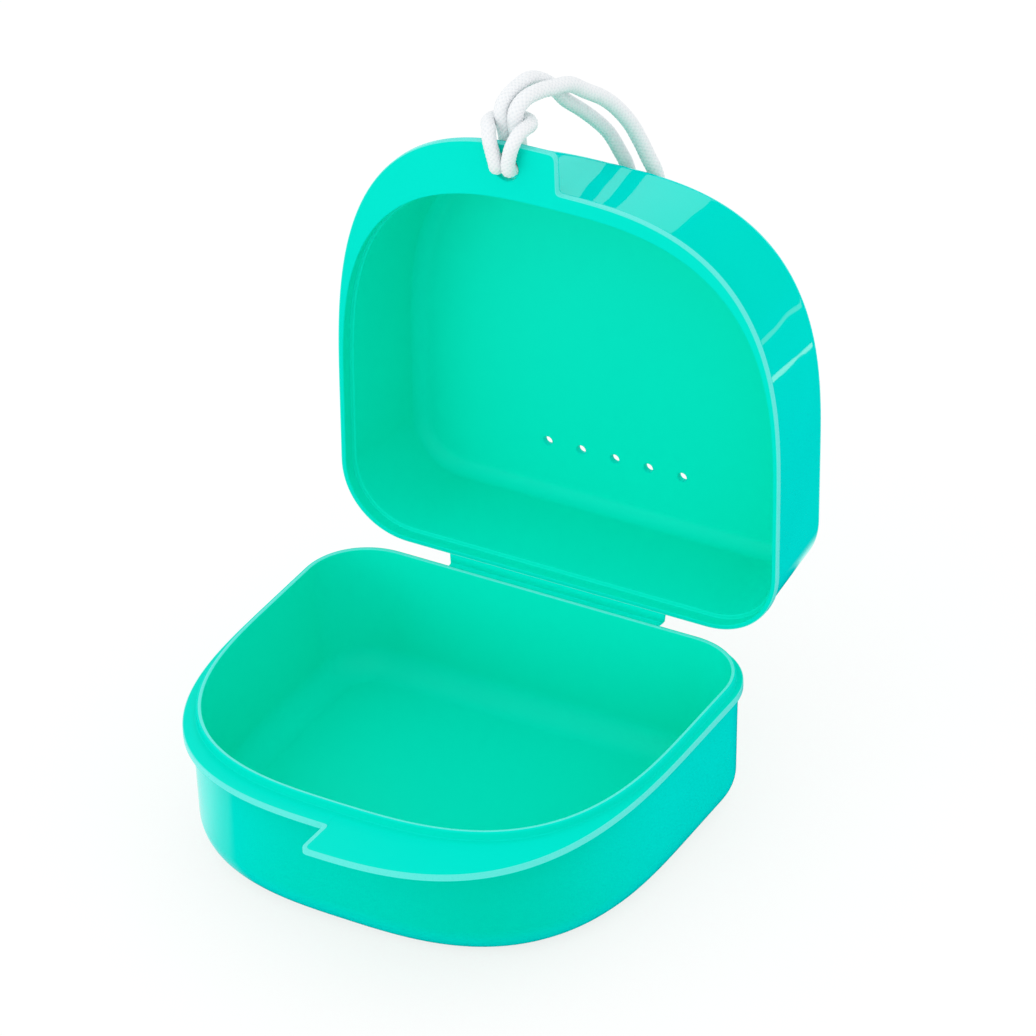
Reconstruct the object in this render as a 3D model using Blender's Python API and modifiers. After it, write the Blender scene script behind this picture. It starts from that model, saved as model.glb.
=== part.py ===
"""Denture case: a thin hinged plastic box with a wrist cord, its lid standing open."""
import math

import bmesh
import bpy
from mathutils import Vector

# Rim flange, one outline for both halves. Reaches are measured from its straight hinge edge.
RIM_HALF_WIDTH = 0.0410
RIM_REACH = 0.0731
RIM_THICKNESS = 0.0013
EDGE_ROUND = 0.0002
CURVE_START = 0.0259
FRONT_EXPONENT = 2.90
CORNER_RADIUS = 0.0129
CORNER_EXPONENT = 2.09

# Thumb lip: over one half of the front the flange runs out wider, and ends in a slanted step
LIP_REACH = 0.0802
STEP_X = -0.0006
STEP_LEAN = 0.0010
STEP_INNER_ROUND = 0.0009
STEP_OUTER_ROUND = 0.0012
STEP_SPREAD = 0.0030

# Base. An inset is how far a wall stands inside the flange outline: at the sides, front and back.
BASE_HEIGHT = 0.0232
BASE_WALL_INSET = (0.0008, 0.0024, 0.0009)
BASE_DRAFT_SHARE = 0.020
BASE_FOOT_RADIUS = 0.0062
BASE_FLOOR = 0.0015
BASE_INNER_DRAFT_SHARE = 0.055
BASE_INNER_RADIUS = 0.0048
SPIGOT_INSET = (0.0012, 0.0037, 0.0011)
SPIGOT_HEIGHT = 0.0015
SPIGOT_THICKNESS = 0.0008

# Lid
LID_DEPTH = 0.0221
LID_WALL_INSET = (0.0004, 0.0018, 0.0003)
LID_DRAFT_SHARE = 0.085
LID_EDGE_RADIUS = 0.0035
LID_PLATE = 0.0012
LID_WALL = 0.0012
LID_INNER_RADIUS = 0.0027
REBATE_CLEARANCE = (0.0003, 0.0009, 0.0003)
REBATE_DEPTH = 0.0022

# Vent holes in the lid's plate, in a row beside the hinge
VENT_COUNT = 5
VENT_DIAMETER = 0.0017
VENT_PITCH = 0.0064
VENT_REACH = 0.0132

# Living hinge: a strap joins the two flanges and folds at its middle
HINGE_WIDTH = 0.0384
HINGE_REACH = 0.0016
HINGE_THICKNESS = 0.0008
HINGE_EDGE_ROUND = 0.00015
CLOSED_GAP = 0.0003
SEAM = 0.0003
OPEN_ANGLE = math.radians(91.3)

# Wrist cord, hitched through a hole in the lid's lip
HOLE_X = -0.0086
HOLE_REACH = 0.0759
HOLE_DIAMETER = 0.0048
CORD_DIAMETER = 0.0022
CORD_SPACING = 0.0050
HITCH_SPACING = 0.0018
KNOT_SIZE = (0.0056, 0.0042, 0.0060)
KNOT_GAP = 0.0003

# Routes as the cord hangs, from the middle of the hole: across, back and up
HITCH_ROUTE = [
    (-0.0012, -0.0002, 0), (-0.0012, -0.0008, 0), (-0.0010, -0.0017, 0.0003),
    (-0.0008, -0.0023, 0.0013), (-0.0012, -0.0024, 0.0031), (-0.0019, -0.0021, 0.0051),
    (-0.0027, -0.0009, 0.0064), (-0.0037, 0.0007, 0.0066), (-0.0040, 0.0026, 0.0064),
    (-0.0027, 0.0044, 0.0063), (-0.0006, 0.0050, 0.0063), (0.0015, 0.0045, 0.0065),
    (0.0029, 0.0028, 0.0068), (0.0030, 0.0008, 0.0070), (0.0027, -0.0009, 0.0066),
    (0.0023, -0.0021, 0.0052), (0.0018, -0.0024, 0.0032), (0.0015, -0.0023, 0.0014),
    (0.0013, -0.0017, 0.0003), (0.0012, -0.0008, 0), (0.0012, -0.0002, 0),
]
INNER_ROUTE = [
    (-0.0012, 0.0002, 0), (-0.0012, 0.0008, 0), (-0.0012, 0.0016, 0.0004),
    (-0.0012, 0.0021, 0.0017), (-0.00135, 0.0021, 0.0042), (-0.0017, 0.0020, 0.0065),
    (-0.0020, 0.0022, 0.0090), (-0.0015, 0.0039, 0.0108), (-0.0005, 0.0069, 0.0119),
    (0.0001, 0.0091, 0.0116), (0.0009, 0.0109, 0.0105), (0.0016, 0.0125, 0.0089),
    (0.0026, 0.0147, 0.0057), (0.0037, 0.0177, 0.0028), (0.0050, 0.0205, -0.0003),
    (0.0064, 0.0223, -0.0031), (0.0078, 0.0232, -0.0063), (0.0092, 0.0237, -0.0098),
    (0.0096, 0.0238, -0.0150), (0.0095, 0.0238, -0.0250), (0.0089, 0.0238, -0.0360),
    (0.0089, 0.0240, -0.0450),
]
OUTER_ROUTE = [
    (0.0012, 0.0002, 0), (0.0012, 0.0008, 0), (0.0012, 0.0016, 0.0004),
    (0.00115, 0.0021, 0.0017), (0.0010, 0.0021, 0.0042), (0.0006, 0.0020, 0.0065),
    (0.0007, 0.0022, 0.0090), (0.0015, 0.0039, 0.0107), (0.0025, 0.0069, 0.0109),
    (0.0033, 0.0095, 0.0104), (0.0044, 0.0131, 0.0096), (0.0056, 0.0163, 0.0072),
    (0.0070, 0.0193, 0.0049), (0.0084, 0.0213, 0.0025), (0.0101, 0.0227, -0.0005),
    (0.0115, 0.0235, -0.0037), (0.0129, 0.0238, -0.0068), (0.0142, 0.0239, -0.0096),
    (0.0150, 0.0239, -0.0150), (0.0149, 0.0238, -0.0250), (0.0132, 0.0238, -0.0360),
    (0.0114, 0.0240, -0.0450),
]

# Colours of the two materials
PLASTIC_COLOUR = (0.008, 0.72, 0.55)
PLASTIC_ROUGHNESS = 0.3
CORD_COLOUR = (0.82, 0.84, 0.85)
CORD_ROUGHNESS = 0.85

# Facets
QUARTER_STEPS = 24
CORNER_STEPS = 9
STEP_STEPS = 5
SIDE_STEPS = 3
BACK_STEPS = 6
FILLET_STEPS = 6
HOLE_SIDES = 24
KNOT_SIDES = 16
CUT_OVERRUN = 0.0010
SHARP_ANGLE = math.radians(35)


def material(name, colour, roughness):
    """Plain surface of one colour."""
    surface = bpy.data.materials.new(name)
    surface.use_nodes = True
    shader = surface.node_tree.nodes["Principled BSDF"]
    shader.inputs["Base Color"].default_value = (*colour, 1)
    shader.inputs["Roughness"].default_value = roughness
    shader.inputs["Metallic"].default_value = 0
    surface.diffuse_color = (*colour, 1)
    return surface


def blended(first, second, share):
    """Value a share of the way from the first to the second."""
    return first + (second - first) * share


def rounded_corner(start, corner, end):
    """Points of a soft bend from start to end that leans towards their corner."""
    points = []
    for step in range(STEP_STEPS + 1):
        share = step / STEP_STEPS
        x = blended(blended(start[0], corner[0], share), blended(corner[0], end[0], share), share)
        y = blended(blended(start[1], corner[1], share), blended(corner[1], end[1], share), share)
        points.append((x, y))
    return points


def superellipse(reach_x, reach_y, exponent, angle):
    """Point of a superellipse about its own centre at a polar angle."""
    share_x = abs(math.cos(angle)) / reach_x
    share_y = abs(math.sin(angle)) / reach_y
    radius = (share_x ** exponent + share_y ** exponent) ** (-1 / exponent)
    return radius * math.cos(angle), radius * math.sin(angle)


def front_edge(half_width, depth, x):
    """How far forward the front curve lies at a given x."""
    share = (abs(x) / half_width) ** FRONT_EXPONENT
    return -CURVE_START - depth * (1 - share) ** (1 / FRONT_EXPONENT)


def lip_step(half_width, depth, lip_depth, inset):
    """Points of the slanted step from the narrow flange out to the thumb lip."""
    inner_x = STEP_X + inset
    outer_x = inner_x + STEP_LEAN
    inner = (inner_x, front_edge(half_width, depth, inner_x))
    outer = (outer_x, front_edge(half_width, lip_depth, outer_x))
    length = math.dist(inner, outer)
    inner_share = STEP_INNER_ROUND / length
    outer_share = 1 - STEP_OUTER_ROUND / length
    start_x = inner_x - STEP_INNER_ROUND
    end_x = outer_x + STEP_OUTER_ROUND
    start = (start_x, front_edge(half_width, depth, start_x))
    end = (end_x, front_edge(half_width, lip_depth, end_x))
    after_inner = (blended(inner[0], outer[0], inner_share), blended(inner[1], outer[1], inner_share))
    before_outer = (blended(inner[0], outer[0], outer_share), blended(inner[1], outer[1], outer_share))
    return rounded_corner(start, inner, after_inner) + rounded_corner(before_outer, outer, end)


def plain_step(half_width, depth):
    """Points of a wall's own front curve that pair with those of the lip's step."""
    count = 2 * (STEP_STEPS + 1)
    middle = STEP_X + STEP_LEAN / 2
    points = []
    for step in range(count):
        x = middle + STEP_SPREAD * (step / (count - 1) - 1 / 2)
        points.append((x, front_edge(half_width, depth, x)))
    return points


def outline(inset, lip=False):
    """Plan outline, anticlockwise from the step at its front, with y = 0 on the hinge edge."""
    side, front, back = inset
    half_width = RIM_HALF_WIDTH - side
    depth = RIM_REACH - front - CURVE_START
    lip_depth = LIP_REACH - front - CURVE_START if lip else depth
    corner = CORNER_RADIUS - side
    corner_x = half_width - corner
    corner_y = -back - corner
    if lip:
        points = lip_step(half_width, depth, lip_depth, side)
    else:
        points = plain_step(half_width, depth)
    start_x, start_y = points[-1]
    start_angle = math.atan2(-CURVE_START - start_y, start_x)
    for step in range(1, QUARTER_STEPS + 1):
        x, y = superellipse(half_width, lip_depth, FRONT_EXPONENT, start_angle * (1 - step / QUARTER_STEPS))
        points.append((x, -CURVE_START - y))
    right_side = []
    for step in range(1, SIDE_STEPS):
        right_side.append((half_width, blended(-CURVE_START, corner_y, step / SIDE_STEPS)))
    for step in range(CORNER_STEPS + 1):
        x, y = superellipse(corner, corner, CORNER_EXPONENT, math.pi / 2 * step / CORNER_STEPS)
        right_side.append((corner_x + x, corner_y + y))
    points += right_side
    for step in range(1, BACK_STEPS):
        points.append((blended(corner_x, -corner_x, step / BACK_STEPS), -back))
    points += [(-x, y) for x, y in reversed(right_side)]
    end_x, end_y = points[0]
    end_angle = math.atan2(-CURVE_START - end_y, -end_x)
    for step in range(QUARTER_STEPS):
        x, y = superellipse(half_width, depth, FRONT_EXPONENT, end_angle * step / QUARTER_STEPS)
        points.append((-x, -CURVE_START - y))
    return points


def grown(inset, amount):
    """The same inset moved inwards all round."""
    return tuple(value + amount for value in inset)


def at_height(points, height):
    """Points of a plan outline lifted to a height."""
    return [Vector((x, y, height)) for x, y in points]


def fillet_rings(inset, radius, lean, plane, upward):
    """Rings of a quarter-round edge that starts flat on a plane and ends upright."""
    rings = []
    for step in range(FILLET_STEPS + 1):
        angle = math.pi / 2 * step / FILLET_STEPS
        ring_inset = grown(inset, lean + radius * (1 - math.sin(angle)))
        height = plane + upward * radius * (1 - math.cos(angle))
        rings.append(at_height(outline(ring_inset), height))
    return rings


def flange_rings(bottom, top):
    """Rings round the edge of the flange and its lip, from one face to the other."""
    step = math.copysign(EDGE_ROUND, top - bottom)
    eased = outline((EDGE_ROUND, EDGE_ROUND, EDGE_ROUND), lip=True)
    full = outline((0, 0, 0), lip=True)
    return [
        at_height(eased, bottom),
        at_height(full, bottom + step),
        at_height(full, top - step),
        at_height(eased, top),
    ]


def base_rings():
    """Rings of the base from its underside, up over the rim and down to the floor inside."""
    underside = BASE_HEIGHT - RIM_THICKNESS
    spigot_top = BASE_HEIGHT + SPIGOT_HEIGHT
    lean = BASE_DRAFT_SHARE * (underside - BASE_FOOT_RADIUS)
    inner_inset = grown(SPIGOT_INSET, SPIGOT_THICKNESS)
    inner_lean = BASE_INNER_DRAFT_SHARE * (spigot_top - BASE_FLOOR - BASE_INNER_RADIUS)
    rings = fillet_rings(BASE_WALL_INSET, BASE_FOOT_RADIUS, lean, 0, 1)
    rings.append(at_height(outline(BASE_WALL_INSET), underside))
    rings += flange_rings(underside, BASE_HEIGHT)
    rings.append(at_height(outline(SPIGOT_INSET), BASE_HEIGHT))
    rings.append(at_height(outline(SPIGOT_INSET), spigot_top - EDGE_ROUND))
    rings.append(at_height(outline(grown(SPIGOT_INSET, EDGE_ROUND)), spigot_top))
    rings.append(at_height(outline(grown(inner_inset, -EDGE_ROUND)), spigot_top))
    rings.append(at_height(outline(inner_inset), spigot_top - EDGE_ROUND))
    floor = fillet_rings(inner_inset, BASE_INNER_RADIUS, inner_lean, BASE_FLOOR, 1)
    rings += reversed(floor)
    return rings


def lid_rings():
    """Rings of the closed lid from the middle of its plate, down over the rim and up inside."""
    lean = LID_DRAFT_SHARE * (LID_DEPTH - RIM_THICKNESS - LID_EDGE_RADIUS)
    opening = tuple(spigot - clearance for spigot, clearance in zip(SPIGOT_INSET, REBATE_CLEARANCE))
    inner_inset = grown(LID_WALL_INSET, LID_WALL)
    ceiling = LID_DEPTH - LID_PLATE
    inner_lean = LID_DRAFT_SHARE * (ceiling - REBATE_DEPTH - LID_INNER_RADIUS)
    rings = fillet_rings(LID_WALL_INSET, LID_EDGE_RADIUS, lean, LID_DEPTH, -1)
    rings.append(at_height(outline(LID_WALL_INSET), RIM_THICKNESS))
    rings += flange_rings(RIM_THICKNESS, 0)
    rings.append(at_height(outline(opening), 0))
    rings.append(at_height(outline(opening), REBATE_DEPTH))
    rings.append(at_height(outline(inner_inset), REBATE_DEPTH))
    plate = fillet_rings(inner_inset, LID_INNER_RADIUS, inner_lean, ceiling, -1)
    rings += reversed(plate)
    return rings


def lofted(name, rings, surface, collection):
    """Closed solid skinned over its rings, with a flat cap at each end."""
    mesh = bpy.data.meshes.new(name)
    model = bmesh.new()
    loops = [[model.verts.new(point) for point in ring] for ring in rings]
    for lower, upper in zip(loops, loops[1:]):
        for index in range(len(lower)):
            following = (index + 1) % len(lower)
            model.faces.new((lower[index], lower[following], upper[following], upper[index]))
    caps = [model.faces.new(reversed(loops[0])), model.faces.new(loops[-1])]
    bmesh.ops.poke(model, faces=caps)
    bmesh.ops.recalc_face_normals(model, faces=model.faces)
    model.to_mesh(mesh)
    model.free()
    mesh.materials.append(surface)
    mesh.shade_smooth()
    mesh.set_sharp_from_angle(angle=SHARP_ANGLE)
    shell = bpy.data.objects.new(name, mesh)
    collection.objects.link(shell)
    return shell


def pin_cutter(name, diameter, length, centre, collection, parent):
    """Upright round cutter."""
    mesh = bpy.data.meshes.new(name)
    model = bmesh.new()
    bmesh.ops.create_cone(model, cap_ends=True, segments=HOLE_SIDES, radius1=diameter / 2,
                          radius2=diameter / 2, depth=length)
    model.to_mesh(mesh)
    model.free()
    cutter = bpy.data.objects.new(name, mesh)
    cutter.location = centre
    cutter.parent = parent
    cutter.hide_render = True
    cutter.display_type = "WIRE"
    collection.objects.link(cutter)
    return cutter


def drilled(shell, cutters):
    """Cut round holes through a shell."""
    for cutter in cutters:
        cut = shell.modifiers.new(cutter.name, "BOOLEAN")
        cut.operation = "DIFFERENCE"
        cut.solver = "EXACT"
        cut.object = cutter


def vent_cutters(collection, parent):
    """Cutters of the row of vent holes through the lid's plate."""
    cutters = []
    for index in range(VENT_COUNT):
        x = VENT_PITCH * (index - (VENT_COUNT - 1) / 2)
        y = -VENT_REACH - HINGE_REACH
        z = LID_DEPTH - LID_PLATE / 2 + CLOSED_GAP / 2
        length = LID_PLATE + 2 * CUT_OVERRUN
        cutters.append(pin_cutter(f"vent_cutter_{index + 1}", VENT_DIAMETER, length, (x, y, z), collection, parent))
    return cutters


def hinge_leaf(name, upward, surface, collection):
    """Half of the living hinge, from beside the flange to the fold, seen from its fold line."""
    length = HINGE_REACH - SEAM - SEAM / 2
    mesh = bpy.data.meshes.new(name)
    model = bmesh.new()
    bmesh.ops.create_cube(model, size=1)
    bmesh.ops.scale(model, verts=model.verts, vec=(HINGE_WIDTH, length, HINGE_THICKNESS))
    centre = Vector((0, -SEAM / 2 - length / 2, upward * (CLOSED_GAP + HINGE_THICKNESS) / 2))
    bmesh.ops.translate(model, verts=model.verts, vec=centre)
    model.to_mesh(mesh)
    model.free()
    mesh.materials.append(surface)
    leaf = bpy.data.objects.new(name, mesh)
    rounding = leaf.modifiers.new("edges", "BEVEL")
    rounding.width = HINGE_EDGE_ROUND
    rounding.segments = 1
    collection.objects.link(leaf)
    return leaf


def smooth_route(route, spacing):
    """Points on a smooth curve through the points of a route, no farther apart than the spacing."""
    through = [Vector(point) for point in route]
    padded = [2 * through[0] - through[1]] + through + [2 * through[-1] - through[-2]]
    points = []
    for before, start, end, after in zip(padded, padded[1:], padded[2:], padded[3:]):
        count = math.ceil((end - start).length / spacing)
        for step in range(count):
            share = step / count
            straight = (end - before) * share
            bend = (2 * before - 5 * start + 4 * end - after) * share ** 2
            twist = (3 * start - before - 3 * end + after) * share ** 3
            points.append(start + (straight + bend + twist) / 2)
    points.append(through[-1])
    return points


def cord(name, route, spacing, surface, collection, parent):
    """Round cord along a route."""
    points = smooth_route(route, spacing)
    length = sum((second - first).length for first, second in zip(points, points[1:]))
    curve = bpy.data.curves.new(name, "CURVE")
    curve.dimensions = "3D"
    curve.bevel_depth = CORD_DIAMETER / 2
    curve.bevel_resolution = 2
    curve.use_fill_caps = True
    curve.render_resolution_u = 0
    spline = curve.splines.new("POLY")
    spline.points.add(len(points) - 1)
    for control, point in zip(spline.points, points):
        control.co = (*point, 1)
    curve.materials.append(surface)
    strand = bpy.data.objects.new(name, curve)
    strand.parent = parent
    collection.objects.link(strand)
    print(f"{name}: {length:.4f} m long")
    return strand


def knot(name, surface, collection, parent):
    """Lump of the knot that ties the cord's two ends."""
    mesh = bpy.data.meshes.new(name)
    model = bmesh.new()
    bmesh.ops.create_uvsphere(model, u_segments=KNOT_SIDES, v_segments=KNOT_SIDES // 2, radius=1 / 2)
    bmesh.ops.scale(model, verts=model.verts, vec=KNOT_SIZE)
    model.to_mesh(mesh)
    model.free()
    mesh.materials.append(surface)
    mesh.shade_smooth()
    lump = bpy.data.objects.new(name, mesh)
    middle = (Vector(INNER_ROUTE[-1]) + Vector(OUTER_ROUTE[-1])) / 2
    lump.location = middle - Vector((0, 0, KNOT_SIZE[2] / 2 + KNOT_GAP))
    lump.parent = parent
    collection.objects.link(lump)
    return lump


def empty(name, collection):
    """Bare axes that carry moving pieces."""
    axes = bpy.data.objects.new(name, None)
    collection.objects.link(axes)
    return axes


def build():
    """Make the case with its lid open."""
    for item in list(bpy.data.objects):
        bpy.data.objects.remove(item, do_unlink=True)
    parts = bpy.data.collections.new("denture_case")
    tools = bpy.data.collections.new("cutters")
    bpy.context.scene.collection.children.link(parts)
    bpy.context.scene.collection.children.link(tools)
    plastic = material("turquoise_plastic", PLASTIC_COLOUR, PLASTIC_ROUGHNESS)
    braid = material("white_cord", CORD_COLOUR, CORD_ROUGHNESS)

    base = lofted("base_shell", base_rings(), plastic, parts)
    base.location = (0, RIM_REACH / 2, 0)

    pivot = empty("hinge_axis", parts)
    pivot.location = (0, RIM_REACH / 2 + HINGE_REACH, BASE_HEIGHT + CLOSED_GAP / 2)
    pivot.rotation_euler = (-OPEN_ANGLE, 0, 0)

    mirrored = []
    for ring in lid_rings():
        mirrored.append([
            Vector((-point.x, point.y - HINGE_REACH, point.z + CLOSED_GAP / 2)) for point in reversed(ring)
        ])
    lid = lofted("lid_shell", mirrored, plastic, parts)
    lid.parent = pivot

    hole_centre = (HOLE_X, -HOLE_REACH - HINGE_REACH, (RIM_THICKNESS + CLOSED_GAP) / 2)
    hole_length = RIM_THICKNESS + 2 * CUT_OVERRUN
    hole = pin_cutter("hole_cutter", HOLE_DIAMETER, hole_length, hole_centre, tools, pivot)
    drilled(lid, [hole] + vent_cutters(tools, pivot))

    base_leaf = hinge_leaf("hinge_leaf_base", -1, plastic, parts)
    base_leaf.location = pivot.location
    lid_leaf = hinge_leaf("hinge_leaf_lid", 1, plastic, parts)
    lid_leaf.parent = pivot

    eye = empty("cord_eye", parts)
    eye.parent = pivot
    eye.location = hole_centre
    eye.rotation_euler = (OPEN_ANGLE, 0, 0)
    cord("lanyard_hitch", HITCH_ROUTE, HITCH_SPACING, braid, parts, eye)
    cord("lanyard_inner_strand", INNER_ROUTE, CORD_SPACING, braid, parts, eye)
    cord("lanyard_outer_strand", OUTER_ROUTE, CORD_SPACING, braid, parts, eye)
    knot("lanyard_knot", braid, parts, eye)


build()
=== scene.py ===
"""Looks of the denture case: moulded shells, living hinge and braided wrist cord."""

import math

import bmesh
import bpy
from mathutils import Matrix, Vector


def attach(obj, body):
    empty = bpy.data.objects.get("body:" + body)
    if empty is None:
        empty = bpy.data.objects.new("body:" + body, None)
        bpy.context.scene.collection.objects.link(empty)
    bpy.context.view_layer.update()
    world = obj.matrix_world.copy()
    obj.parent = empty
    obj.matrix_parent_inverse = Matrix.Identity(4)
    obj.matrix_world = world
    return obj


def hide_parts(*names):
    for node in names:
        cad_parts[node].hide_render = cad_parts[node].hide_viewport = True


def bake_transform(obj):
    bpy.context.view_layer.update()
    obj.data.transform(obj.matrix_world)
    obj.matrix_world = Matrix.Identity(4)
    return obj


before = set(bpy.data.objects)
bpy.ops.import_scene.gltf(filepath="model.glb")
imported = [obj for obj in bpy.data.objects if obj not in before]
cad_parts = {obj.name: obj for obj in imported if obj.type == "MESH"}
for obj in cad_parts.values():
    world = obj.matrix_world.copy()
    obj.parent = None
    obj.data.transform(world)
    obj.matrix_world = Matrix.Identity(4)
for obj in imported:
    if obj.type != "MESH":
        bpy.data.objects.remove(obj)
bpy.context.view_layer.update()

# Rim flange, one outline for both halves. Reaches are measured from its straight hinge edge.
RIM_HALF_WIDTH = 0.0410
RIM_REACH = 0.0731
RIM_THICKNESS = 0.0013
CURVE_START = 0.0259
FRONT_EXPONENT = 2.90
CORNER_RADIUS = 0.0129
CORNER_EXPONENT = 2.09

# Thumb lip
LIP_REACH = 0.0802
BASE_STEP = (-0.0001, -0.0002)
LID_STEP = (-0.0007, 0.0002)
STEP_INNER_ROUND = 0.0009
STEP_OUTER_ROUND = 0.0012
STEP_SHIFT = 0.0006
STEP_SPREAD = 0.0032
STEP_GAP = 0.0010

# Base. An inset is how far a wall stands inside the flange outline: at the sides, front and back.
BASE_HEIGHT = 0.0232
BASE_WALL_INSET = (0.0008, 0.0024, 0.0009)
BASE_DRAFT_SHARE = 0.020
BASE_FOOT_RADIUS = 0.0062
BASE_FLOOR = 0.0015
BASE_INNER_DRAFT_SHARE = 0.055
BASE_INNER_RADIUS = 0.0048
SPIGOT_INSET = (0.0012, 0.0037, 0.0011)
SPIGOT_HEIGHT = 0.0015
SPIGOT_THICKNESS = 0.0008

# Lid
LID_DEPTH = 0.0221
LID_WALL_INSET = (0.0004, 0.0018, 0.0003)
LID_DRAFT_SHARE = 0.085
LID_EDGE_RADIUS = 0.0035
LID_PLATE = 0.0012
LID_WALL = 0.0012
LID_INNER_RADIUS = 0.0027
REBATE_CLEARANCE = (0.0003, 0.0009, 0.0003)
REBATE_DEPTH = 0.0022

# Softness of the moulding's edges
FLANGE_ROUND = 0.00028
SPIGOT_ROUND = 0.00030
LEDGE_ROUND = 0.00022
ROOT_ROUND = 0.00030
# Painted highlight lines along the edges: the share of the flange's thickness that they cover, how far they run onto
# its face, and a shift of their inner edge at the lip's step. The spigot's line covers a share of its top.
BASE_HIGHLIGHT_LINE = (0.86, 0.00015, 0.0006)
LID_HIGHLIGHT_LINE = (0.80, 0.00015, 0)
SPIGOT_HIGHLIGHT_SHARE = 0.65

# Vent holes and cord hole
VENT_COUNT = 5
VENT_DIAMETER = 0.0016
VENT_PITCH = 0.0064
VENT_REACH = 0.0132
HOLE_X = -0.0086
HOLE_REACH = 0.0759
HOLE_DIAMETER = 0.0048
RIM_FLARE = 0.00015
CUT_OVERRUN = 0.0005

# Living hinge
HINGE_HALF_WIDTH = 0.0192
HINGE_LEFT_FLARE = (0.0009, 0.0011)
HINGE_RIGHT_FLARE = (0.0004, 0.0014)
HINGE_REACH = 0.0016
HINGE_THICKNESS = 0.0008
HINGE_WEB = 0.00055
HINGE_OVERLAP = 0.0003
HINGE_EDGE_ROUND = 0.00025
CLOSED_GAP = 0.0003
OPEN_ANGLE = math.radians(91.3)
PIVOT = Vector((0, RIM_REACH / 2 + HINGE_REACH, BASE_HEIGHT + CLOSED_GAP / 2))

# Wrist cord
CORD_DIAMETER = 0.0022
CORD_SPACING = 0.00012
HITCH_LENGTH = 0.0339
INNER_LENGTH = 0.0820
OUTER_LENGTH = 0.0838
YARNS = 8
PLAIT_LENGTH = 0.0058
YARN_RELIEF = 0.00008
HITCH_RADIUS = 0.00118
INNER_RADIUS = 0.00120
OUTER_RADIUS = 0.00132

# Knot at the cord's low end
KNOT_TURNS = 3
KNOT_RADIUS = 0.0021
KNOT_PITCH = 0.0020
KNOT_DROP = 0.0004
TAIL_LENGTH = 0.0065

# Facets
QUARTER_STEPS = 84
CORNER_STEPS = 30
STEP_STEPS = 10
SIDE_STEPS = 10
BACK_STEPS = 24
FILLET_STEPS = 14
SOFT_STEPS = 4
HOLE_SIDES = 40
ROUTE_STEPS = 10

# Routes of the cord, from the middle of the hole: across, back and up
HITCH_ROUTE = [
    (-0.0012, -0.0002, 0), (-0.0012, -0.0008, 0), (-0.0010, -0.0017, 0.0003),
    (-0.0008, -0.0023, 0.0013), (-0.0012, -0.0024, 0.0031), (-0.0019, -0.0021, 0.0051),
    (-0.0027, -0.0009, 0.0064), (-0.0037, 0.0007, 0.0066), (-0.0040, 0.0026, 0.0064),
    (-0.0027, 0.0044, 0.0063), (-0.0006, 0.0050, 0.0063), (0.0015, 0.0045, 0.0065),
    (0.0029, 0.0028, 0.0068), (0.0030, 0.0008, 0.0070), (0.0027, -0.0009, 0.0066),
    (0.0023, -0.0021, 0.0052), (0.0018, -0.0024, 0.0032), (0.0015, -0.0023, 0.0014),
    (0.0013, -0.0017, 0.0003), (0.0012, -0.0008, 0), (0.0012, -0.0002, 0),
]
INNER_ROUTE = [
    (-0.0012, 0.0002, 0), (-0.0012, 0.0008, 0), (-0.0012, 0.0016, 0.0004),
    (-0.0012, 0.0021, 0.0017), (-0.00135, 0.0021, 0.0042), (-0.0017, 0.0020, 0.0065),
    (-0.0020, 0.0022, 0.0090), (-0.0015, 0.0039, 0.0108), (-0.0005, 0.0069, 0.0119),
    (0.0001, 0.0091, 0.0116), (0.0009, 0.0109, 0.0105), (0.0016, 0.0125, 0.0089),
    (0.0026, 0.0147, 0.0057), (0.0037, 0.0177, 0.0028), (0.0050, 0.0205, -0.0003),
    (0.0064, 0.0223, -0.0031), (0.0078, 0.0232, -0.0063), (0.0092, 0.0237, -0.0098),
    (0.0096, 0.0238, -0.0150), (0.0095, 0.0238, -0.0250), (0.0089, 0.0238, -0.0360),
    (0.0089, 0.0240, -0.0450),
]
OUTER_ROUTE = [
    (0.0012, 0.0002, 0), (0.0012, 0.0008, 0), (0.0012, 0.0016, 0.0004),
    (0.00115, 0.0021, 0.0017), (0.0010, 0.0021, 0.0042), (0.0006, 0.0020, 0.0065),
    (0.0007, 0.0022, 0.0090), (0.0015, 0.0039, 0.0107), (0.0025, 0.0069, 0.0109),
    (0.0033, 0.0095, 0.0104), (0.0044, 0.0131, 0.0096), (0.0056, 0.0163, 0.0072),
    (0.0070, 0.0193, 0.0049), (0.0084, 0.0213, 0.0025), (0.0101, 0.0227, -0.0005),
    (0.0115, 0.0235, -0.0037), (0.0129, 0.0238, -0.0068), (0.0142, 0.0239, -0.0096),
    (0.0150, 0.0239, -0.0150), (0.0149, 0.0238, -0.0250), (0.0132, 0.0238, -0.0360),
    (0.0114, 0.0240, -0.0450),
]

# Pale cards on the floor, seen only in the case's polished walls. The near one lies beyond a line
# from a point at the base's left front, the far one behind the case, and two spots to its right.
CARD_CORNER = (-0.0209, -0.0317)
CARD_SLOPE = 0.38
CARD_SOFTNESS = 0.004
CARD_FADE = 0.018
CARD_STRENGTH = (0.30, 0.82)
FAR_CARD_X = 0.03
FAR_CARD_Y = 0.09
FAR_CARD_STRENGTH = 0.9
SPOTS = [(0.39, 0.61, 0.10, 0.8), (0.14, 0.24, 0.012, 1.8)]

# Camera
AIM = Vector((-0.00448, 0.03429, 0.03886))
AZIMUTH = math.radians(29.913)
ELEVATION = math.radians(32.289)
ROLL = math.radians(-1.421)
DISTANCE = 0.9134
LENS = 192.45
SENSOR = 36.0


def opened(point):
    """Where a point of the closed lid, measured from the fold line, lies with the lid open."""
    return PIVOT + Matrix.Rotation(-OPEN_ANGLE, 3, "X") @ point


EYE = opened(Vector((HOLE_X, -HOLE_REACH - HINGE_REACH, (RIM_THICKNESS + CLOSED_GAP) / 2)))


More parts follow.
